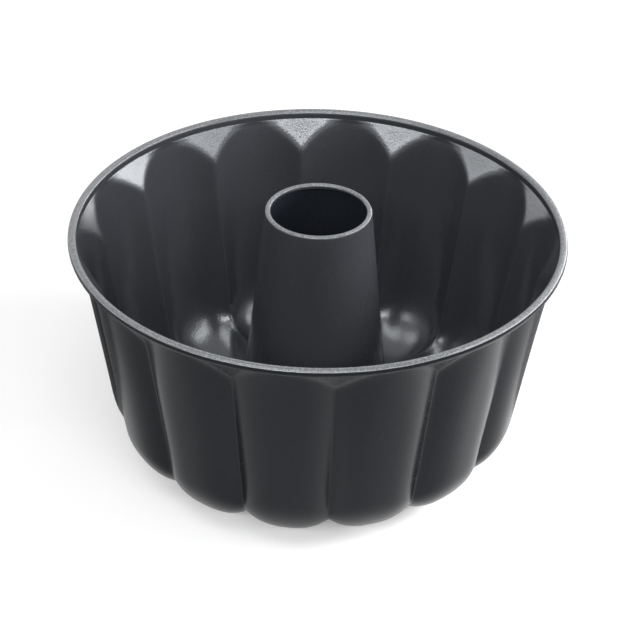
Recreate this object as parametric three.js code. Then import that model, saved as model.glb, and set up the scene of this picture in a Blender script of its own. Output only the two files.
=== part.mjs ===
// Fluted tube pan: a deep fluted shell of thin coated sheet with a wired, rolled rim,
// and a tapered middle tube whose foot is folded round the shell's neck in a lock seam.
// Millimetres, +Z up. The pan stands on z = 0 and its axis is the Z axis.
import * as THREE from 'three';

// Rim
const RIM_DIAMETER = 220; // over the rolled rim
const RIM_HEIGHT = 113; // table to the top of the rolled rim
const RIM_BEAD = 4; // thickness of the rolled rim
const COLLAR_DROP = 2; // plain round collar, from the middle of the bead down to the shoulder

// Fluted wall
const SHELL_SHEET = 0.6; // thickness of the shell's sheet
const FLUTES = 14;
const SHOULDER_ANGLE = 33.7; // degrees, shoulder cone to the axis
const CREST_INSET = 1.15; // crest line behind the collar, at the collar's lower edge
const CREST_DRAFT = 8.4; // degrees, crest line to the axis
const FLUTE_DEPTH = 5.25; // crest to valley, at the collar's lower edge
const VALLEY_DRAFT = 11.7; // degrees, valley line to the axis: the flutes deepen downwards
const CREST_FILLET = 34; // wall to floor, along a crest
const VALLEY_FILLET = 12; // wall to floor, along a valley
const VALLEY_LIFT = 8.7; // floor of the valleys above the floor of the crests

// Floor round the tube
const RAMP_WIDTH = 8; // rise from the crests' flat feet to the neck
const SHELF_WIDTH = 4; // round shelf between the rise and the neck
const NECK_RISE = 9; // underside of that shelf above the table
const NECK_LENGTH = 6; // turned-down neck, below the shelf's underside
const NECK_BEND = 0.6; // radius of its bend, on the underside

// Middle tube
const TUBE_SHEET = 0.6; // thickness of the tube's sheet
const TUBE_HEIGHT = 121.5; // table to the top of the rolled lip
const LIP_DIAMETER = 47.4; // over the rolled lip
const LIP_BEAD = 2.6; // thickness of the rolled lip
const FOOT_DIAMETER = 70; // tube where it passes through the neck
const HEM_LENGTH = 5; // return leg of the fold round the neck

// Clearance between sheets and wire that lie against each other
const SEAM_GAP = 0.3;

// Facets
const FLUTE_SIDES = 7; // facets across one flute, the middle one flat
const CURL_STEP = 30; // degrees between the points of a rolled edge
const RIM_CURL = 300; // degrees that the rim is rolled
const LIP_CURL = 270; // degrees that the lip is rolled
const HEM_STEP = 45; // degrees between the points of the hem's fold
const FILLET_STEPS = 5;
const RAMP_STEPS = 3;
const TUBE_SIDES = 3 * FLUTES;
const WIRE_SIDES = 6 * FLUTES;
const WIRE_FACETS = 8;
const ARCH_HALVINGS = 40;

const radians = THREE.MathUtils.degToRad;
const slope = (degrees) => Math.tan(radians(degrees));
const place = (radius, height) => new THREE.Vector2(radius, height);

// Values that follow from the driving dimensions
const fluteHalfAngle = Math.PI / FLUTES;
const beadCentre = place((RIM_DIAMETER - RIM_BEAD) / 2, RIM_HEIGHT - RIM_BEAD / 2);
const halfStep = radians(CURL_STEP / 2);
const curlHollow = RIM_BEAD / 2 - SHELL_SHEET / Math.cos(halfStep);
const collarRadius = beadCentre.x - curlHollow;
const shoulderTop = beadCentre.y - COLLAR_DROP;
const wireRadius = curlHollow * Math.cos(halfStep) - SEAM_GAP;
const footRadius = FOOT_DIAMETER / 2;
const neckRadius = footRadius + SEAM_GAP + SHELL_SHEET;
const neckEnd = NECK_RISE - NECK_LENGTH;
const shelfRadius = neckRadius + SHELF_WIDTH;
const padInnerRadius = shelfRadius + RAMP_WIDTH;

// Points of a circular arc in a meridian plane, from one angle to another, both in degrees
function arc(centre, radius, from, to, steps) {
  const points = [];
  for (let step = 0; step <= steps; step += 1) {
    const angle = radians(from + ((to - from) * step) / steps);
    points.push(place(centre.x + radius * Math.cos(angle), centre.y + radius * Math.sin(angle)));
  }
  return points;
}

// Wall lines on the outside face, as radius at a height
const crestRadius = (height) => collarRadius - CREST_INSET - (shoulderTop - height) * slope(CREST_DRAFT);
const valleyRadius = (height) =>
  collarRadius - CREST_INSET - FLUTE_DEPTH - (shoulderTop - height) * slope(VALLEY_DRAFT);
const shoulderRadius = (height) => collarRadius - (shoulderTop - height) * slope(SHOULDER_ANGLE);

// Rounded turn from a wall line into its floor, from the wall down
function turnIntoFloor(wallRadius, draft, floor, fillet) {
  const flat = wallRadius(floor) - fillet * slope((90 - draft) / 2);
  return arc(place(flat, floor + fillet), fillet, -draft, -90, FILLET_STEPS);
}

// Share of a flute's depth at a place across it, from -1 to 1: a circular arc with a flat middle facet
function bulge(across, halfWidth, depth) {
  const flat = 1 / FLUTE_SIDES;
  const side = Math.max(0, (Math.abs(across) - flat) / (1 - flat));
  const sag = THREE.MathUtils.clamp(depth, SEAM_GAP, halfWidth);
  const arcRadius = (halfWidth ** 2 + sag ** 2) / (2 * sag);
  return 1 - (arcRadius - Math.sqrt(arcRadius ** 2 - (side * halfWidth) ** 2)) / sag;
}

// A row of the shell is a meridian point for each place across a flute
const roundRow = (point) => () => point;
const fluteRow = (crest, valley) => (across) => {
  const share = bulge(across, valley.x * Math.sin(fluteHalfAngle), crest.distanceTo(valley));
  return valley.clone().lerp(crest, share);
};

// Arch where a flute runs out into the shoulder cone
function archPoint(across) {
  let above = shoulderTop;
  let below = VALLEY_LIFT + VALLEY_FILLET;
  for (let halving = 0; halving < ARCH_HALVINGS; halving += 1) {
    const height = (above + below) / 2;
    const valley = valleyRadius(height);
    const depth = crestRadius(height) - valley;
    const flute = valley + depth * bulge(across, valley * Math.sin(fluteHalfAngle), depth);
    if (flute < shoulderRadius(height)) {
      above = height;
    } else {
      below = height;
    }
  }
  return place(shoulderRadius(above), above);
}

// Rows of the shell's outside face, from the rolled edge over the rim, down the wall and in to the neck
function shellRows() {
  const curl = arc(beadCentre, curlHollow, 180 - RIM_CURL, 180, RIM_CURL / CURL_STEP);
  const rows = curl.map(roundRow);
  rows.push(roundRow(place(collarRadius, shoulderTop)));
  rows.push(archPoint);
  const crestTurn = turnIntoFloor(crestRadius, CREST_DRAFT, 0, CREST_FILLET);
  const valleyTurn = turnIntoFloor(valleyRadius, VALLEY_DRAFT, VALLEY_LIFT, VALLEY_FILLET);
  crestTurn.forEach((crest, step) => rows.push(fluteRow(crest, valleyTurn[step])));
  for (let step = 0; step <= RAMP_STEPS; step += 1) {
    const share = step / RAMP_STEPS;
    const radius = padInnerRadius - RAMP_WIDTH * share;
    const rise = THREE.MathUtils.smoothstep(share, 0, 1);
    const crest = place(radius, NECK_RISE * rise);
    const valley = place(radius, THREE.MathUtils.lerp(VALLEY_LIFT, NECK_RISE, rise));
    rows.push(fluteRow(crest, valley));
  }
  rows.push(roundRow(place(neckRadius + NECK_BEND, NECK_RISE)));
  rows.push(roundRow(place(neckRadius, NECK_RISE - NECK_BEND)));
  rows.push(roundRow(place(neckRadius, neckEnd)));
  return rows;
}

// The rows set out round the axis: a grid of points, one line of the grid for each row
function setOutRound(rows) {
  const columns = FLUTES * FLUTE_SIDES;
  return rows.map((row) => {
    const line = [];
    for (let column = 0; column < columns; column += 1) {
      const across = (2 * (column % FLUTE_SIDES)) / FLUTE_SIDES - 1;
      const flute = Math.floor(column / FLUTE_SIDES);
      const angle = (2 * flute + across) * fluteHalfAngle;
      const point = row(across);
      line.push(new THREE.Vector3(point.x * Math.cos(angle), point.x * Math.sin(angle), point.y));
    }
    return line;
  });
}

// The other face of a sheet, one thickness behind a grid of points
function behind(grid, thickness) {
  const columns = grid[0].length;
  const facing = (row, column) => {
    const next = (column + 1) % columns;
    const down = grid[row + 1][next].clone().sub(grid[row][column]);
    const along = grid[row][next].clone().sub(grid[row + 1][column]);
    return down.cross(along).normalize();
  };
  return grid.map((line, row) => line.map((point, column) => {
    const before = (column + columns - 1) % columns;
    const rowsBeside = [row - 1, row].filter((beside) => beside >= 0 && beside < grid.length - 1);
    const faces = rowsBeside.flatMap((beside) => [facing(beside, before), facing(beside, column)]);
    const normal = faces.reduce((sum, face) => sum.add(face), new THREE.Vector3()).normalize();
    const lean = faces.reduce((sum, face) => sum + face.dot(normal), 0) / faces.length;
    return point.clone().addScaledVector(normal, -thickness / lean);
  }));
}

// A closed body between the two faces of a sheet that runs right round the axis
function sheetBody(front, back) {
  const columns = front[0].length;
  const loop = [...front, ...[...back].reverse()];
  const positions = loop.flat().flatMap((point) => point.toArray());
  const indices = [];
  loop.forEach((line, row) => {
    const nextRow = (row + 1) % loop.length;
    line.forEach((point, column) => {
      const nextColumn = (column + 1) % columns;
      const near = row * columns;
      const far = nextRow * columns;
      indices.push(near + column, far + column, far + nextColumn);
      indices.push(near + column, far + nextColumn, near + nextColumn);
    });
  });
  const geometry = new THREE.BufferGeometry();
  geometry.setAttribute('position', new THREE.Float32BufferAttribute(positions, 3));
  geometry.setIndex(indices);
  geometry.computeVertexNormals();
  return geometry;
}

// A closed section of sheet whose one face follows the given points, with its thickness on their left
function sheetSection(face, thickness) {
  const leftOf = (from, to) => place(from.y - to.y, to.x - from.x).normalize();
  const other = face.map((point, index) => {
    const sides = [];
    if (index > 0) {
      sides.push(leftOf(face[index - 1], point));
    }
    if (index < face.length - 1) {
      sides.push(leftOf(point, face[index + 1]));
    }
    const normal = sides.reduce((sum, side) => sum.add(side), place(0, 0)).normalize();
    return point.clone().addScaledVector(normal, thickness / normal.dot(sides[0]));
  });
  return [...face, ...other.reverse(), face[0]];
}

// Outer face of the tube, from the end of its hem under the neck, up the cone and over the rolled lip
function tubeFace() {
  const foldRadius = SEAM_GAP + SHELL_SHEET / 2;
  const foldCentre = place(footRadius + foldRadius, neckEnd);
  const fold = arc(foldCentre, foldRadius, 0, -180, 180 / HEM_STEP);
  const hemEnd = place(foldCentre.x + foldRadius, neckEnd + HEM_LENGTH);
  const footTop = place(footRadius, NECK_RISE + SHELL_SHEET);
  const lipCentre = place((LIP_DIAMETER - LIP_BEAD) / 2, TUBE_HEIGHT - LIP_BEAD / 2);
  const lip = arc(lipCentre, LIP_BEAD / 2, 0, LIP_CURL, LIP_CURL / CURL_STEP);
  return [hemEnd, ...fold, footTop, ...lip];
}

function finish(color, roughness, metalness) {
  return new THREE.MeshStandardMaterial({ color, roughness, metalness });
}

function piece(name, geometry, material) {
  const mesh = new THREE.Mesh(geometry, material);
  mesh.name = name;
  return mesh;
}

function flutedShell(material) {
  const outside = setOutRound(shellRows());
  return piece('fluted_shell', sheetBody(outside, behind(outside, SHELL_SHEET)), material);
}

function centerTube(material) {
  const section = sheetSection(tubeFace(), TUBE_SHEET);
  const mesh = piece('center_tube', new THREE.LatheGeometry(section, TUBE_SIDES), material);
  mesh.rotation.x = Math.PI / 2;
  return mesh;
}

function rimWire(material) {
  const ring = new THREE.TorusGeometry(beadCentre.x, wireRadius, WIRE_FACETS, WIRE_SIDES);
  const mesh = piece('rim_wire', ring, material);
  mesh.position.z = beadCentre.y;
  return mesh;
}

const coating = finish(0x2e3034, 0.36, 0.25);
const steel = finish(0xa9abad, 0.3, 1);

const pan = new THREE.Group();
pan.name = 'fluted_tube_pan';
pan.add(flutedShell(coating));
pan.add(centerTube(coating));
pan.add(rimWire(steel));

export default pan;
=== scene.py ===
"""A fluted tube pan of dark coated sheet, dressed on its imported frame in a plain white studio."""
import logging
import math
from dataclasses import dataclass, field
from enum import Enum

import bmesh
import bpy
from mathutils import Matrix, Vector


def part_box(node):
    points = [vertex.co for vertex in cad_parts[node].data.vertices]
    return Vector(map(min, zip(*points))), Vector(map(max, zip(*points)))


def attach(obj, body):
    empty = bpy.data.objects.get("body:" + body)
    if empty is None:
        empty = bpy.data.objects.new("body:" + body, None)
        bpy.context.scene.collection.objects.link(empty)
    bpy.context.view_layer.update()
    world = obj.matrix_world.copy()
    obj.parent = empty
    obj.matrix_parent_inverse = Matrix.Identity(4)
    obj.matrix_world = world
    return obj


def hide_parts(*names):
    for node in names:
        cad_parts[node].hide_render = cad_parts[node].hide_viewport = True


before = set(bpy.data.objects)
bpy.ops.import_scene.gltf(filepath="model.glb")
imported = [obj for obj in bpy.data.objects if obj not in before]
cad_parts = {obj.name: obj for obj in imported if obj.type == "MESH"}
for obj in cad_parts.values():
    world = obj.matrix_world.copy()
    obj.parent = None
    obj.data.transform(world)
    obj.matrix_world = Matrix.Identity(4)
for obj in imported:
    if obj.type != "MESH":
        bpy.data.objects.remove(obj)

MM = 0.001
BODY = "root"
WHITE = (1.0, 1.0, 1.0, 1.0)
Colour = tuple[float, float, float]
Span = tuple[float, float]
log = logging.getLogger("tube_pan")


class Slot(Enum):
    """Material slots of the record that the pieces take their finish from."""

    SHELL = "shell_coating"
    TUBE = "tube_coating"
    WIRE = "wire_steel"


class Node(Enum):
    """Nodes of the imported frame."""

    SHELL = "fluted_shell"
    TUBE = "center_tube"
    WIRE = "rim_wire"


class Side(Enum):
    """Sides of the sheet, in the order of a piece's materials."""

    INSIDE = 0
    OUTSIDE = 1


def arc(centre: Vector, radius: float, start: float, end: float, steps: int) -> list[Vector]:
    """Points of a circular arc in a meridian plane.

    Args:
        centre: Middle of the arc, as radius and height.
        radius: Radius of the arc.
        start: First angle, in degrees, from the outward direction towards up.
        end: Last angle, in degrees.
        steps: Number of equal steps.

    Returns:
        One more point than there are steps, as radius and height.
    """
    points = []
    for step in range(steps + 1):
        angle = math.radians(start + (end - start) * step / steps)
        points.append(centre + radius * Vector((math.cos(angle), math.sin(angle))))
    return points


def line(start: Vector, end: Vector, steps: int) -> list[Vector]:
    """Points of a straight stretch, without its first one.

    Args:
        start: Where the stretch starts, which is left out.
        end: Where it ends.
        steps: Number of equal steps.

    Returns:
        As many points as there are steps.
    """
    return [start.lerp(end, step / steps) for step in range(1, steps + 1)]


def smooth_step(share: float) -> float:
    """Eases a share from 0 to 1, level at both ends."""
    return share * share * (3.0 - 2.0 * share)


def draw_chain(sheet: bmesh.types.BMesh, points: list[Vector]) -> list[bmesh.types.BMVert]:
    """Draws a meridian line as a chain of edges in the plane of X and Z.

    Args:
        sheet: Mesh to draw in.
        points: Radius and height of each point.

    Returns:
        The vertices, in order.
    """
    verts = [sheet.verts.new((point.x, 0.0, point.y)) for point in points]
    for first, second in zip(verts, verts[1:]):
        sheet.edges.new((first, second))
    return verts


def spin_round(
    sheet: bmesh.types.BMesh,
    geom: list,
    angle: float,
    steps: int,
    merge: bool = False,
    copies: bool = False,
) -> None:
    """Spins geometry about the pan's axis.

    Args:
        sheet: Mesh that holds the geometry.
        geom: Vertices, edges and faces to spin.
        angle: Whole angle, in radians.
        steps: Number of steps.
        merge: Whether a full turn closes on itself.
        copies: Whether each step is a copy instead of a swept surface.
    """
    bmesh.ops.spin(
        sheet,
        geom=geom,
        cent=(0.0, 0.0, 0.0),
        axis=(0.0, 0.0, 1.0),
        dvec=(0.0, 0.0, 0.0),
        angle=angle,
        steps=steps,
        use_merge=merge,
        use_duplicate=copies,
    )


def thicken(sheet: bmesh.types.BMesh, thickness: float, weld: float, lacquered: bool) -> None:
    """Closes the seams of a spun sheet, points its faces away from the axis and gives it its thickness.

    Args:
        sheet: Open sheet, one face thick.
        thickness: Thickness of the metal, which lies behind the faces.
        weld: Distance under which points are one.
        lacquered: Whether the drawn face is the lacquered one, and not the one that the cake touches.
    """
    bmesh.ops.remove_doubles(sheet, verts=sheet.verts[:], dist=weld)
    bmesh.ops.recalc_face_normals(sheet, faces=sheet.faces[:])
    outward = sum(
        face.normal.xy.dot(face.calc_center_median().xy) * face.calc_area() for face in sheet.faces
    )
    if outward < 0.0:
        bmesh.ops.reverse_faces(sheet, faces=sheet.faces[:])
    drawn = set(sheet.verts)
    bmesh.ops.solidify(sheet, geom=sheet.faces[:], thickness=thickness)
    for face in sheet.faces:
        outside = drawn.issuperset(face.verts) == lacquered
        face.material_index = Side.OUTSIDE.value if outside else Side.INSIDE.value


def to_object(sheet: bmesh.types.BMesh, name: str) -> bpy.types.Object:
    """Makes a scene object of a mesh.

    Args:
        sheet: Finished mesh, which is freed.
        name: Name of the object.

    Returns:
        The new object, at the origin.
    """
    mesh = bpy.data.meshes.new(name)
    sheet.to_mesh(mesh)
    sheet.free()
    made = bpy.data.objects.new(name, mesh)
    bpy.context.scene.collection.objects.link(made)
    return made


def to_piece(sheet: bmesh.types.BMesh, name: str, sharp: float) -> bpy.types.Object:
    """Makes a piece of the pan of a mesh, smooth apart from its cut edges.

    Args:
        sheet: Finished mesh, which is freed.
        name: Name of the piece.
        sharp: Angle between faces, in degrees, past which an edge stays sharp.

    Returns:
        The piece's object.
    """
    for face in sheet.faces:
        face.smooth = True
    for edge in sheet.edges:
        edge.smooth = edge.calc_face_angle(0.0) < math.radians(sharp)
    return to_object(sheet, name)


def lay_slab(name: str, width: float, depth: float, middle: Vector) -> bpy.types.Object:
    """Lays a level rectangle that belongs to the studio and not to the pan.

    Args:
        name: Name of the object.
        width: Length along X.
        depth: Length along Y.
        middle: Place of its middle.

    Returns:
        The new object.
    """
    slab = bmesh.new()
    bmesh.ops.create_grid(slab, x_segments=1, y_segments=1, size=1.0)
    bmesh.ops.scale(slab, verts=slab.verts[:], vec=(width / 2, depth / 2, 1.0))
    bmesh.ops.translate(slab, verts=slab.verts[:], vec=middle)
    laid = to_object(slab, name)
    return laid


class NodeSheet:
    """A material's node tree with short calls for the nodes that the finishes use."""

    def __init__(self, name: str) -> None:
        """Starts an empty material with its shader and output."""
        self.material = bpy.data.materials.new(name)
        self.material.use_nodes = True
        self.tree = self.material.node_tree
        self.shader = self.tree.nodes["Principled BSDF"]

    def node(self, kind: str, **values: object) -> bpy.types.Node:
        """Adds a node.

        Args:
            kind: Blender's name of the node's type.
            values: Properties of the node, or defaults of its inputs by name with spaces as underscores.

        Returns:
            The new node.
        """
        made = self.tree.nodes.new(kind)
        for name, value in values.items():
            socket = made.inputs.get(name.replace("_", " "))
            if socket is None:
                setattr(made, name, value)
            else:
                socket.default_value = value
        return made

    def paint(self, colour: Colour, roughness: float) -> None:
        """Sets an even colour and roughness."""
        self.shader.inputs["Base Color"].default_value = (*colour, 1.0)
        self.shader.inputs["Roughness"].default_value = roughness

    def link(self, source: bpy.types.NodeSocket, target: bpy.types.NodeSocket) -> None:
        """Joins an output to an input."""
        self.tree.links.new(source, target)

    def blend(
        self, share: bpy.types.NodeSocket, low: bpy.types.NodeSocket, high: bpy.types.NodeSocket
    ) -> bpy.types.NodeSocket:
        """Mixes two colours.

        Args:
            share: Share of the second colour.
            low: First colour.
            high: Second colour.

        Returns:
            The mixed colour's output.
        """
        mixed = self.node("ShaderNodeMix", data_type="RGBA")
        sockets = [socket for socket in mixed.inputs if socket.enabled]
        for source, socket in zip((share, low, high), sockets):
            self.link(source, socket)
        return next(socket for socket in mixed.outputs if socket.enabled)


@dataclass(frozen=True)
class RolledEdge:
    """Circle through the middle of a rolled edge, and the radius of the roll."""

    radius: float
    height: float
    roll: float


@dataclass(frozen=True, kw_only=True)
class SatinCoat:
    """Satin coat on steel sheet, with a faint speckle and a fine uneven skin."""

    name: str
    colour: Colour
    fleck_colour: Colour
    ior: float
    gleam: Colour = (0.92, 0.96, 1.0)
    roughness: float = 0.22
    roughness_spread: float = 0.02
    fleck_pitch: float = 0.55 * MM
    fleck_span: Span = (0.45, 0.75)
    fleck_detail: float = 2.0
    fleck_fineness: float = 0.6
    gloss_span: Span = (0.3, 0.7)
    peel_pitch: float = 0.9 * MM
    peel_strength: float = 0.7
    peel_height: float = 0.08 * MM
    peel_detail: float = 1.0

    def speckle(
        self, sheet: NodeSheet, flecks: bpy.types.NodeSocket, ground: Colour, fleck: Colour
    ) -> bpy.types.NodeSocket:
        """Colour with flecks in it.

        Args:
            sheet: Material to add the nodes to.
            flecks: Noise that picks the flecks.
            ground: Colour between the flecks.
            fleck: Colour of the flecks.

        Returns:
            The colour's output.
        """
        picked = sheet.node("ShaderNodeValToRGB")
        for element, position, colour in zip(picked.color_ramp.elements, self.fleck_span, (ground, fleck)):
            element.position = position
            element.color = (*colour, 1.0)
        sheet.link(flecks, picked.inputs["Fac"])
        return picked.outputs["Color"]

    def tint(
        self, sheet: NodeSheet, place: bpy.types.NodeSocket, flecks: bpy.types.NodeSocket
    ) -> bpy.types.NodeSocket:
        """Colour of the coat.

        Args:
            sheet: Material to add the nodes to.
            place: Place on the piece, not used by this even coat.
            flecks: Noise that picks the flecks.

        Returns:
            The colour's output.
        """
        return self.speckle(sheet, flecks, self.colour, self.fleck_colour)

    def material(self) -> bpy.types.Material:
        """Builds the coat.

        Returns:
            The material.
        """
        sheet = NodeSheet(self.name)
        place = sheet.node("ShaderNodeTexCoord").outputs["Object"]
        noise = sheet.node(
            "ShaderNodeTexNoise",
            Scale=1.0 / self.fleck_pitch,
            Detail=self.fleck_detail,
            Roughness=self.fleck_fineness,
        )
        sheet.link(place, noise.inputs["Vector"])
        flecks = noise.outputs["Fac"]
        sheet.link(self.tint(sheet, place, flecks), sheet.shader.inputs["Base Color"])
        gloss = sheet.node(
            "ShaderNodeMapRange",
            From_Min=self.gloss_span[0],
            From_Max=self.gloss_span[1],
            To_Min=self.roughness - self.roughness_spread,
            To_Max=self.roughness + self.roughness_spread,
        )
        sheet.link(flecks, gloss.inputs["Value"])
        sheet.link(gloss.outputs["Result"], sheet.shader.inputs["Roughness"])
        peel = sheet.node("ShaderNodeTexNoise", Scale=1.0 / self.peel_pitch, Detail=self.peel_detail)
        sheet.link(place, peel.inputs["Vector"])
        bump = sheet.node("ShaderNodeBump", Strength=self.peel_strength, Distance=self.peel_height)
        sheet.link(peel.outputs["Fac"], bump.inputs["Height"])
        sheet.link(bump.outputs["Normal"], sheet.shader.inputs["Normal"])
        sheet.shader.inputs["IOR"].default_value = self.ior
        sheet.shader.inputs["Specular Tint"].default_value = (*self.gleam, 1.0)
        return sheet.material


@dataclass(frozen=True, kw_only=True)
class OutsideLacquer(SatinCoat):
    """Nearly black lacquer on the side that the oven's heat meets."""

    colour: Colour = (0.0042, 0.0047, 0.0062)
    fleck_colour: Colour = (0.0058, 0.0064, 0.0082)
    gleam: Colour = (0.85, 0.92, 1.0)
    ior: float = 1.24
    roughness: float = 0.26
    peel_strength: float = 0.03


@dataclass(frozen=True, kw_only=True)
class ReleaseCoat(SatinCoat):
    """Charcoal non-stick coat on the side of the cake, with a painted highlight, pale and speckled, on top
    of each rolled edge.
    """

    edge: RolledEdge
    colour: Colour = (0.033, 0.0345, 0.0395)
    fleck_colour: Colour = (0.041, 0.0425, 0.0475)
    # painted highlight: a paler colour with bright painted glints on top of the rolled edge, where the
    # lamps reflect
    painted_highlight_colour: Colour = (0.078, 0.081, 0.087)
    painted_highlight_fleck_colour: Colour = (0.27, 0.275, 0.283)
    painted_highlight_span: Span = (0.5, 0.8)
    ior: float = 1.75

    def painted_highlight_share(self, sheet: NodeSheet, place: bpy.types.NodeSocket) -> bpy.types.NodeSocket:
        """Share of the painted highlight, 1 on top of the rolled edge and 0 below it.

        Args:
            sheet: Material to add the nodes to.
            place: Place on the piece.

        Returns:
            The share's output.
        """
        axes = sheet.node("ShaderNodeSeparateXYZ")
        sheet.link(place, axes.inputs["Vector"])
        low, high = (self.edge.height + self.edge.roll * level for level in self.painted_highlight_span)
        share = sheet.node("ShaderNodeMapRange", From_Min=low, From_Max=high)
        sheet.link(axes.outputs["Z"], share.inputs["Value"])
        return share.outputs["Result"]

    def tint(
        self, sheet: NodeSheet, place: bpy.types.NodeSocket, flecks: bpy.types.NodeSocket
    ) -> bpy.types.NodeSocket:
        """Colour of the coat, with a painted highlight on top of the rolled edge.

        Args:
            sheet: Material to add the nodes to.
            place: Place on the piece.
            flecks: Noise that picks the flecks.

        Returns:
            The colour's output.
        """
        even = super().tint(sheet, place, flecks)
        # painted highlight colour for the top of the rolled edge
        edge = self.speckle(sheet, flecks, self.painted_highlight_colour, self.painted_highlight_fleck_colour)
        return sheet.blend(self.painted_highlight_share(sheet, place), even, edge)


@dataclass(frozen=True)
class DrawnSteel:
    """Bare drawn wire with fine streaks along its length."""

    name: str
    colour: Colour = (0.55, 0.55, 0.56)
    dark_colour: Colour = (0.42, 0.42, 0.43)
    roughness: float = 0.34
    streak_pitch: float = 0.4 * MM
    streak_detail: float = 2.0

    def material(self) -> bpy.types.Material:
        """Builds the bare steel.

        Returns:
            The material.
        """
        sheet = NodeSheet(self.name)
        place = sheet.node("ShaderNodeTexCoord").outputs["Object"]
        streaks = sheet.node("ShaderNodeTexNoise", Scale=1.0 / self.streak_pitch, Detail=self.streak_detail)
        sheet.link(place, streaks.inputs["Vector"])
        tint = sheet.node("ShaderNodeValToRGB")
        tint.color_ramp.elements[0].color = (*self.dark_colour, 1.0)
        tint.color_ramp.elements[1].color = (*self.colour, 1.0)
        sheet.link(streaks.outputs["Fac"], tint.inputs["Fac"])
        sheet.link(tint.outputs["Color"], sheet.shader.inputs["Base Color"])
        sheet.shader.inputs["Metallic"].default_value = 1.0
        sheet.shader.inputs["Roughness"].default_value = self.roughness
        return sheet.material


@dataclass
class SheetRow:
    """One row of the shell's outside face, as it runs along a crest and along a valley."""

    crest: Vector
    valley: Vector
    shouldered: bool = False


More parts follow.
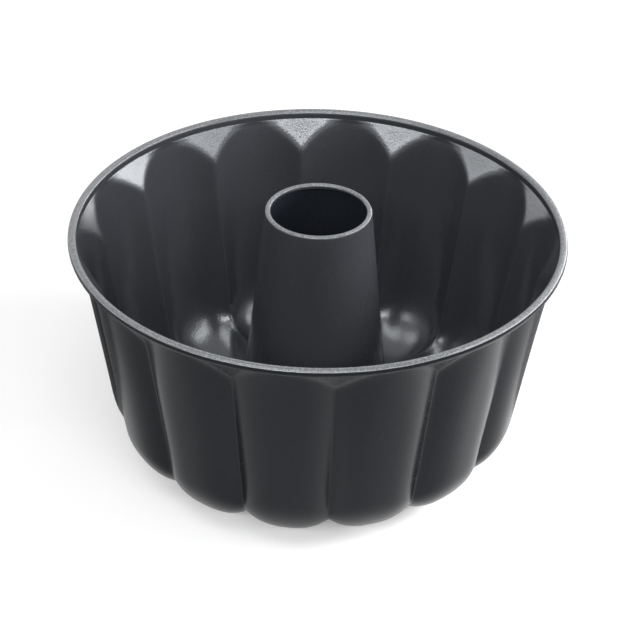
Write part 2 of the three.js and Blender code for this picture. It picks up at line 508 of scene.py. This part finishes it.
@dataclass
class FlutedShell:
    """The deep shell: rolled rim, collar, arched shoulder, flutes, rounded floor and neck."""

    rim_radius: float
    rim_top: float
    tube_radius: float = 35.0 * MM
    bead: float = 4.0 * MM
    sheet: float = 0.6 * MM
    collar_drop: float = 2.0 * MM
    collar_bend: float = 0.6 * MM
    flutes: int = 14
    shoulder_angle: float = 33.7
    crest_inset: float = 1.15 * MM
    crest_flare: float = 20.0 * MM
    crest_draft: float = 8.4
    flute_depth: float = 5.25 * MM
    valley_draft: float = 9.3
    crest_fillet: float = 34.0 * MM
    valley_fillet: float = 12.0 * MM
    valley_lift: float = 10.2 * MM
    ramp_width: float = 8.0 * MM
    shelf_width: float = 4.0 * MM
    neck_rise: float = 9.0 * MM
    neck_length: float = 6.0 * MM
    neck_bend: float = 0.6 * MM
    seam_gap: float = 0.3 * MM
    rim_curl: float = 300.0
    rim_lacquer_top: float = 1.1 * MM
    arch_softness: float = 0.7 * MM
    arch_fade: float = 1.5 * MM
    arch_power: float = 2.0
    wall_power: float = 2.8
    wall_power_drop: float = 45.0 * MM
    crease_softness: float = 0.035
    crease_crowding: float = 1.3
    half_flute_steps: int = 14
    curl_steps: int = 36
    wall_steps: int = 44
    wall_crowding: float = 1.7
    fillet_steps: int = 18
    floor_steps: int = 5
    ramp_steps: int = 9
    bend_steps: int = 4
    weld: float = 0.01 * MM
    sharp: float = 50.0
    rows: list[SheetRow] = field(default_factory=list)

    def __post_init__(self) -> None:
        """Works out the sizes that follow from the driving ones."""
        self.half_angle = math.pi / self.flutes
        self.bead_centre = Vector((self.rim_radius - self.bead / 2, self.rim_top - self.bead / 2))
        self.collar_radius = self.bead_centre.x - self.bead / 2 + self.sheet
        self.shoulder_top = self.bead_centre.y - self.collar_drop
        self.rolled_edge = RolledEdge(self.bead_centre.x, self.bead_centre.y, self.bead / 2)

    def crest_radius(self, height: float) -> float:
        """Radius of the crest line at a height."""
        drop = self.shoulder_top - height
        return self.collar_radius - self.crest_inset - drop * math.tan(math.radians(self.crest_draft))

    def valley_radius(self, height: float) -> float:
        """Radius of the valley line at a height."""
        drop = self.shoulder_top - height
        top = self.collar_radius - self.crest_inset - self.flute_depth
        return top - drop * math.tan(math.radians(self.valley_draft))

    def shoulder_radius(self, height: float) -> float:
        """Radius of the shoulder cone at a height."""
        drop = self.shoulder_top - height
        return self.collar_radius - drop * math.tan(math.radians(self.shoulder_angle))

    def turn(self, wall_radius: float, draft: float, floor: float, fillet: float) -> list[Vector]:
        """Rounded turn from a wall line into its floor.

        Args:
            wall_radius: Radius of the wall line at the floor's height.
            draft: Angle of the wall line to the axis, in degrees.
            floor: Height of the floor.
            fillet: Radius of the turn.

        Returns:
            Points from the wall down to the floor.
        """
        reach = fillet * math.tan(math.radians((90.0 - draft) / 2))
        centre = Vector((wall_radius - reach, floor + fillet))
        return arc(centre, fillet, -draft, -90.0, self.fillet_steps)

    def add_round(self, points: list[Vector]) -> None:
        """Adds rows that are the same all round."""
        self.rows.extend(SheetRow(point, point) for point in points)

    def add_rim(self) -> None:
        """Adds the rolled rim and the collar below it."""
        hollow = self.bead / 2 - self.sheet
        self.add_round(arc(self.bead_centre, hollow, 180.0 - self.rim_curl, 180.0, self.curl_steps))
        reach = self.collar_bend * math.tan(math.radians(self.shoulder_angle / 2))
        bend_centre = Vector((self.collar_radius - self.collar_bend, self.shoulder_top + reach))
        self.add_round(arc(bend_centre, self.collar_bend, 0.0, -self.shoulder_angle / 2, self.bend_steps))

    def add_wall(self) -> None:
        """Adds the fluted wall and its turn into the floor."""
        crest_turn = self.turn(self.crest_radius(0.0), self.crest_draft, 0.0, self.crest_fillet)
        valley_turn = self.turn(
            self.valley_radius(self.valley_lift), self.valley_draft, self.valley_lift, self.valley_fillet
        )
        crest_top = Vector((self.crest_radius(self.shoulder_top), self.shoulder_top))
        valley_top = Vector((self.valley_radius(self.shoulder_top), self.shoulder_top))
        for step in range(1, self.wall_steps):
            share = (step / self.wall_steps) ** self.wall_crowding
            crest = crest_top.lerp(crest_turn[0], share)
            crest.x += self.crest_inset * math.exp((crest.y - self.shoulder_top) / self.crest_flare)
            valley = valley_top.lerp(valley_turn[0], share)
            self.rows.append(SheetRow(crest, valley, shouldered=True))
        for crest, valley in zip(crest_turn, valley_turn):
            self.rows.append(SheetRow(crest, valley))

    def add_floor(self) -> None:
        """Adds the floor, its rise towards the tube and the turned-down neck."""
        neck_radius = self.tube_radius + self.seam_gap + self.sheet
        shelf_radius = neck_radius + self.shelf_width
        pad_radius = shelf_radius + self.ramp_width
        last = self.rows[-1]
        crests = line(last.crest, Vector((pad_radius, 0.0)), self.floor_steps)
        valleys = line(last.valley, Vector((pad_radius, self.valley_lift)), self.floor_steps)
        self.rows.extend(SheetRow(crest, valley) for crest, valley in zip(crests, valleys))
        for step in range(1, self.ramp_steps + 1):
            rise = smooth_step(step / self.ramp_steps)
            radius = pad_radius - self.ramp_width * step / self.ramp_steps
            crest = Vector((radius, self.neck_rise * rise))
            valley = Vector((radius, self.valley_lift + (self.neck_rise - self.valley_lift) * rise))
            self.rows.append(SheetRow(crest, valley))
        bend_centre = Vector((neck_radius + self.neck_bend, self.neck_rise - self.neck_bend))
        self.add_round(arc(bend_centre, self.neck_bend, 90.0, 180.0, self.bend_steps))
        self.add_round([Vector((neck_radius, self.neck_rise - self.neck_length))])

    def bulge(self, across: float, height: float) -> float:
        """Share of a flute's depth at a place across it.

        Args:
            across: Place, from 0 on the crest to 1 in the valley.
            height: Height of the crest there, below which the flute gets fuller.

        Returns:
            1 on the crest and 0 in the valley, with a rounded crease there.
        """
        soft = self.crease_softness
        inside = (math.hypot(1.0 - across, soft) - soft) / (math.hypot(1.0, soft) - soft)
        low = smooth_step(min(1.0, max(0.0, (self.shoulder_top - height) / self.wall_power_drop)))
        power = self.arch_power + (self.wall_power - self.arch_power) * low
        return 1.0 - (1.0 - inside) ** power

    def pressed(self, row: SheetRow, across: float) -> Vector:
        """Place of a point of the sheet after the flutes are pressed in.

        Args:
            row: Row that the point lies in.
            across: Place across the flute, from 0 on the crest to 1 in the valley.

        Returns:
            Radius and height.
        """
        point = row.valley.lerp(row.crest, self.bulge(across, row.crest.y))
        if row.shouldered:
            shoulder = self.shoulder_radius(point.y)
            fade = min(1.0, (self.shoulder_top - point.y) / self.arch_fade)
            step = math.hypot(point.x - shoulder, self.arch_softness * fade)
            point.x = (point.x + shoulder + step) / 2.0
        return point

    def press_flutes(self, sheet: bmesh.types.BMesh, row_of: bmesh.types.BMLayerItem) -> None:
        """Moves the points of half a flute from their round places to the fluted ones.

        Args:
            sheet: Mesh of half a flute, spun from a crest.
            row_of: Layer that holds each point's row.
        """
        for vert in sheet.verts:
            spun = math.atan2(vert.co.y, vert.co.x) / self.half_angle
            across = 1.0 - max(0.0, 1.0 - spun) ** self.crease_crowding
            point = self.pressed(self.rows[vert[row_of]], across)
            angle = across * self.half_angle
            vert.co = Vector((point.x * math.cos(angle), point.x * math.sin(angle), point.y))

    def build(self) -> bpy.types.Object:
        """Builds the shell.

        Returns:
            The shell's object.
        """
        self.add_rim()
        self.add_wall()
        self.add_floor()
        sheet = bmesh.new()
        row_of = sheet.verts.layers.int.new("row")
        chain = draw_chain(sheet, [row.crest for row in self.rows])
        for index, vert in enumerate(chain):
            vert[row_of] = index
        spin_round(sheet, sheet.verts[:] + sheet.edges[:], self.half_angle, self.half_flute_steps)
        self.press_flutes(sheet, row_of)
        whole = sheet.verts[:] + sheet.edges[:] + sheet.faces[:]
        bmesh.ops.mirror(sheet, geom=whole, matrix=Matrix.Identity(4), merge_dist=self.weld, axis="Y")
        whole = sheet.verts[:] + sheet.edges[:] + sheet.faces[:]
        rest = self.flutes - 1
        spin_round(sheet, whole, 2.0 * self.half_angle * rest, rest, copies=True)
        thicken(sheet, self.sheet, self.weld, lacquered=True)
        self.lacquer_rim(sheet)
        return to_piece(sheet, "shell_sheet", self.sharp)

    def lacquer_rim(self, sheet: bmesh.types.BMesh) -> None:
        """Carries the lacquer on over the outer and lower side of the rolled rim.

        Args:
            sheet: Whole shell with its thickness.
        """
        top = self.bead_centre.y + self.rim_lacquer_top
        for face in sheet.faces:
            middle = face.calc_center_median()
            if middle.xy.length > self.bead_centre.x and middle.z < top:
                face.material_index = Side.OUTSIDE.value

    def dress(self, piece: bpy.types.Object) -> None:
        """Coats the shell on both sides and puts it in its node's place."""
        # the release coat carries a painted highlight on top of the rolled rim
        inside = ReleaseCoat(name="shell_release_coat", edge=self.rolled_edge)
        outside = OutsideLacquer(name="shell_lacquer")
        piece.data.materials.append(inside.material())
        piece.data.materials.append(outside.material())
        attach(piece, BODY)
        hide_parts(Node.SHELL.value)


@dataclass
class CenterTube:
    """The tapered middle tube: folded foot, cone and rolled lip."""

    top: float
    foot_radius: float
    neck_rise: float
    neck_end: float
    neck_sheet: float
    seam_gap: float
    lip_radius: float = 23.7 * MM
    sheet: float = 0.6 * MM
    lip_bead: float = 2.6 * MM
    lip_curl: float = 270.0
    bore_colour: Colour = (0.018, 0.0215, 0.028)
    hem_length: float = 5.0 * MM
    sides: int = 196
    fold_steps: int = 8
    cone_steps: int = 24
    lip_steps: int = 20
    weld: float = 0.01 * MM
    sharp: float = 50.0

    def __post_init__(self) -> None:
        """Works out where the lip's roll runs."""
        roll = self.lip_bead / 2
        self.rolled_edge = RolledEdge(self.lip_radius - roll, self.top - roll, roll)

    def face(self) -> list[Vector]:
        """Outer face of the tube, from the hem's end up to the end of the rolled lip.

        Returns:
            Radius and height of each point.
        """
        fold_radius = self.seam_gap + self.neck_sheet / 2
        fold_centre = Vector((self.foot_radius + fold_radius, self.neck_end))
        points = [Vector((fold_centre.x + fold_radius, self.neck_end + self.hem_length))]
        points += arc(fold_centre, fold_radius, 0.0, -180.0, self.fold_steps)
        foot_top = Vector((self.foot_radius, self.neck_rise + self.neck_sheet))
        points.append(foot_top)
        lip_centre = Vector((self.rolled_edge.radius, self.rolled_edge.height))
        lip = arc(lip_centre, self.rolled_edge.roll, 0.0, self.lip_curl, self.lip_steps)
        points += line(foot_top, lip[0], self.cone_steps)
        return points + lip[1:]

    def build(self) -> bpy.types.Object:
        """Builds the tube.

        Returns:
            The tube's object.
        """
        sheet = bmesh.new()
        draw_chain(sheet, self.face())
        spin_round(sheet, sheet.verts[:] + sheet.edges[:], 2.0 * math.pi, self.sides, merge=True)
        thicken(sheet, self.sheet, self.weld, lacquered=False)
        return to_piece(sheet, "tube_sheet", self.sharp)

    def dress(self, piece: bpy.types.Object) -> None:
        """Coats the tube on both sides and puts it in its node's place."""
        # the release coat carries a painted highlight on top of the lip's roll
        inside = ReleaseCoat(name="tube_release_coat", edge=self.rolled_edge)
        outside = OutsideLacquer(name="tube_lacquer", colour=self.bore_colour)
        piece.data.materials.append(inside.material())
        piece.data.materials.append(outside.material())
        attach(piece, BODY)
        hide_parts(Node.TUBE.value)


@dataclass
class RimWire:
    """The wire ring inside the rolled rim, which is the frame's own solid."""

    steel: DrawnSteel

    def dress(self) -> None:
        """Gives the frame's ring its bare steel."""
        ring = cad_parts[Node.WIRE.value]
        ring.data.materials.clear()
        ring.data.materials.append(self.steel.material())


@dataclass
class PhotoCamera:
    """A camera at the photograph's viewing angle."""

    rim_height: float
    aim_drop: float = 48.253 * MM
    distance: float = 0.9
    near: float = 0.05
    focal_pixels: float = 1976.7
    frame_pixels: float = 640.0
    sensor: float = 36.0
    elevation: float = 34.285
    roll: float = 1.36
    turn: float = -5.306
    side_shift: float = 1.731 * MM

    def place(self) -> None:
        """Sets the camera up and makes it the scene's own."""
        lens = bpy.data.cameras.new("photo_camera")
        lens.sensor_width = self.sensor
        lens.lens = self.focal_pixels * self.sensor / self.frame_pixels
        lens.clip_start = self.near
        camera = bpy.data.objects.new("photo_camera", lens)
        tilt = Matrix.Rotation(math.radians(90.0 - self.elevation), 4, "X")
        roll = Matrix.Rotation(math.radians(self.roll), 4, "Z")
        turn = Matrix.Rotation(math.radians(self.turn), 4, "Z")
        aim = Matrix.Translation((self.side_shift, 0.0, self.rim_height - self.aim_drop))
        back = Matrix.Translation((0.0, 0.0, self.distance))
        camera.matrix_world = turn @ aim @ tilt @ back @ roll
        bpy.context.scene.collection.objects.link(camera)
        bpy.context.scene.camera = camera


@dataclass(frozen=True)
class SoftBox:
    """A rectangular soft light, with its place and its size as seen from the pan, in degrees."""

    name: str
    azimuth: float
    elevation: float
    width: float
    height: float
    radiance: float
    roll: float = 0.0
    distance: float = 2.5
    mirrored: bool = True

    def place(self, aim: Vector) -> None:
        """Sets the light up.

        Args:
            aim: Point that it faces.
        """
        lamp = bpy.data.lights.new(self.name, "AREA")
        lamp.shape = "RECTANGLE"
        lamp.size = 2.0 * self.distance * math.tan(math.radians(self.width / 2))
        lamp.size_y = 2.0 * self.distance * math.tan(math.radians(self.height / 2))
        lamp.energy = self.radiance * math.pi * lamp.size * lamp.size_y
        light = bpy.data.objects.new(self.name, lamp)
        azimuth = math.radians(self.azimuth)
        elevation = math.radians(self.elevation)
        level = math.cos(elevation)
        towards = Vector((math.cos(azimuth) * level, math.sin(azimuth) * level, math.sin(elevation)))
        facing = towards.to_track_quat("Z", "Y").to_matrix().to_4x4()
        roll = Matrix.Rotation(math.radians(self.roll), 4, "Z")
        light.matrix_world = Matrix.Translation(aim + towards * self.distance) @ facing @ roll
        light.visible_camera = False
        light.visible_glossy = self.mirrored
        bpy.context.scene.collection.objects.link(light)


@dataclass(frozen=True)
class ReflectedShadeMat:
    """A grey mat of painted shade on the floor, seen only in mirror reflections, where it darkens the pan's
    outline.
    """

    name: str
    middle: tuple[float, float]
    width: float
    depth: float
    lift: float = 0.1 * MM
    colour: Colour = (0.2, 0.2, 0.205)
    roughness: float = 0.9

    def place(self) -> None:
        """Lays the mat."""
        mat = lay_slab(self.name, self.width, self.depth, Vector((*self.middle, self.lift)))
        sheet = NodeSheet(self.name)
        sheet.paint(self.colour, self.roughness)
        mat.data.materials.append(sheet.material)
        mat.visible_camera = False
        mat.visible_diffuse = False
        mat.visible_transmission = False
        mat.visible_shadow = False


@dataclass
class Studio:
    """White floor and surroundings, soft lights in a ring of strips, boxes and a card, and two mats of
    painted shade seen only in reflections.
    """

    aim: Vector
    floor_size: float = 8.0
    floor_colour: Colour = (0.8, 0.8, 0.8)
    floor_drop: float = 0.05 * MM
    floor_roughness: float = 0.9
    floor_white: float = 0.25
    room_light: float = 0.1
    room_white: float = 1.0
    # each light's name, azimuth, elevation, width and height come first
    boxes: tuple[SoftBox, ...] = (
        SoftBox("right_back_strip", 42.0, 4.0, 34.0, 8.0, radiance=7.6, roll=-20.0),
        SoftBox("right_strip", 7.0, 18.0, 40.0, 6.0, radiance=13.0, roll=-21.0),
        SoftBox("right_front_strip", -35.0, 30.8, 40.0, 6.0, radiance=6.3, roll=-11.0),
        SoftBox("front_strip", -83.0, 36.0, 50.0, 6.0, radiance=13.3),
        SoftBox("left_front_strip", -129.0, 35.0, 44.0, 6.0, radiance=12.2, roll=11.0),
        SoftBox("left_strip", 180.0, 23.0, 40.0, 6.0, radiance=5.5, roll=20.0),
        SoftBox("left_back_strip", 140.0, 7.0, 30.0, 7.0, radiance=1.7, roll=22.0),
        SoftBox("right_box", -14.0, 39.0, 24.0, 15.0, radiance=5.0),
        SoftBox("left_box", 174.0, 49.0, 20.0, 14.0, radiance=2.5),
        SoftBox("top_box", -120.0, 68.0, 44.0, 20.0, radiance=3.2),
        SoftBox("back_box", 90.0, 42.0, 110.0, 44.0, radiance=0.35),
        SoftBox("right_card", -4.0, 15.0, 30.0, 20.0, radiance=22.0, distance=0.36, mirrored=False),
    )
    # mats of painted shade, seen only in reflections, that darken the pan's outline
    mats: tuple[ReflectedShadeMat, ...] = (
        ReflectedShadeMat("right_mat", middle=(0.155, 0.09), width=0.15, depth=0.18),
        ReflectedShadeMat("left_mat", middle=(-0.16, 0.095), width=0.15, depth=0.17),
    )

    @staticmethod
    def link_seen(
        tree: bpy.types.NodeTree, strength: bpy.types.NodeSocket, unseen: float, seen: float
    ) -> None:
        """Gives a strength one value where it is seen, straight or mirrored, and another where it lights.

        Args:
            tree: Node tree to add the nodes to.
            strength: Input to set.
            unseen: Value for light that falls on the pan.
            seen: Value for what the camera, mirrors and glass show.
        """
        path = tree.nodes.new("ShaderNodeLightPath")
        share = path.outputs["Is Camera Ray"]
        for ray in ("Is Glossy Ray", "Is Transmission Ray"):
            either = tree.nodes.new("ShaderNodeMath")
            either.operation = "MAXIMUM"
            tree.links.new(share, either.inputs[0])
            tree.links.new(path.outputs[ray], either.inputs[1])
            share = either.outputs["Value"]
        level = tree.nodes.new("ShaderNodeMapRange")
        level.inputs["To Min"].default_value = unseen
        level.inputs["To Max"].default_value = seen
        tree.links.new(share, level.inputs["Value"])
        tree.links.new(level.outputs["Result"], strength)

    def lay_floor(self) -> None:
        """Lays the floor that the pan stands on."""
        middle = Vector((0.0, 0.0, -self.floor_drop))
        floor = lay_slab("studio_floor", self.floor_size, self.floor_size, middle)
        sheet = NodeSheet("studio_floor")
        sheet.paint(self.floor_colour, self.floor_roughness)
        sheet.shader.inputs["Emission Color"].default_value = WHITE
        self.link_seen(sheet.tree, sheet.shader.inputs["Emission Strength"], 0.0, self.floor_white)
        floor.data.materials.append(sheet.material)

    def light_room(self) -> None:
        """Surrounds the pan with white, which lights it only a little."""
        world = bpy.data.worlds.new("studio_room")
        world.use_nodes = True
        tree = world.node_tree
        back = tree.nodes["Background"]
        back.inputs["Color"].default_value = WHITE
        self.link_seen(tree, back.inputs["Strength"], self.room_light, self.room_white)
        bpy.context.scene.world = world

    def build(self) -> None:
        """Builds the floor, the surroundings, the soft boxes and the mats."""
        self.lay_floor()
        self.light_room()
        for box in self.boxes:
            box.place(self.aim)
        for mat in self.mats:
            mat.place()


def main() -> None:
    """Builds the pan's pieces and the studio in order."""
    logging.basicConfig(level=logging.INFO)
    bpy.context.scene.view_settings.view_transform = "Standard"
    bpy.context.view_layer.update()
    _, shell_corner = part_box(Node.SHELL.value)
    _, tube_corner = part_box(Node.TUBE.value)
    shell = FlutedShell(rim_radius=shell_corner[1], rim_top=shell_corner[2])
    PhotoCamera(rim_height=shell.bead_centre.y).place()
    shell_piece = shell.build()
    shell.dress(shell_piece)
    log.info("shell: %d faces", len(shell_piece.data.polygons))
    tube = CenterTube(
        top=tube_corner[2],
        foot_radius=shell.tube_radius,
        neck_rise=shell.neck_rise,
        neck_end=shell.neck_rise - shell.neck_length,
        neck_sheet=shell.sheet,
        seam_gap=shell.seam_gap,
    )
    tube_piece = tube.build()
    tube.dress(tube_piece)
    log.info("tube: %d faces", len(tube_piece.data.polygons))
    RimWire(DrawnSteel(Slot.WIRE.value)).dress()
    log.info("rim wire: bare steel")
    Studio(aim=Vector((0.0, 0.0, shell.shoulder_top))).build()


if __name__ == "__main__":
    main()
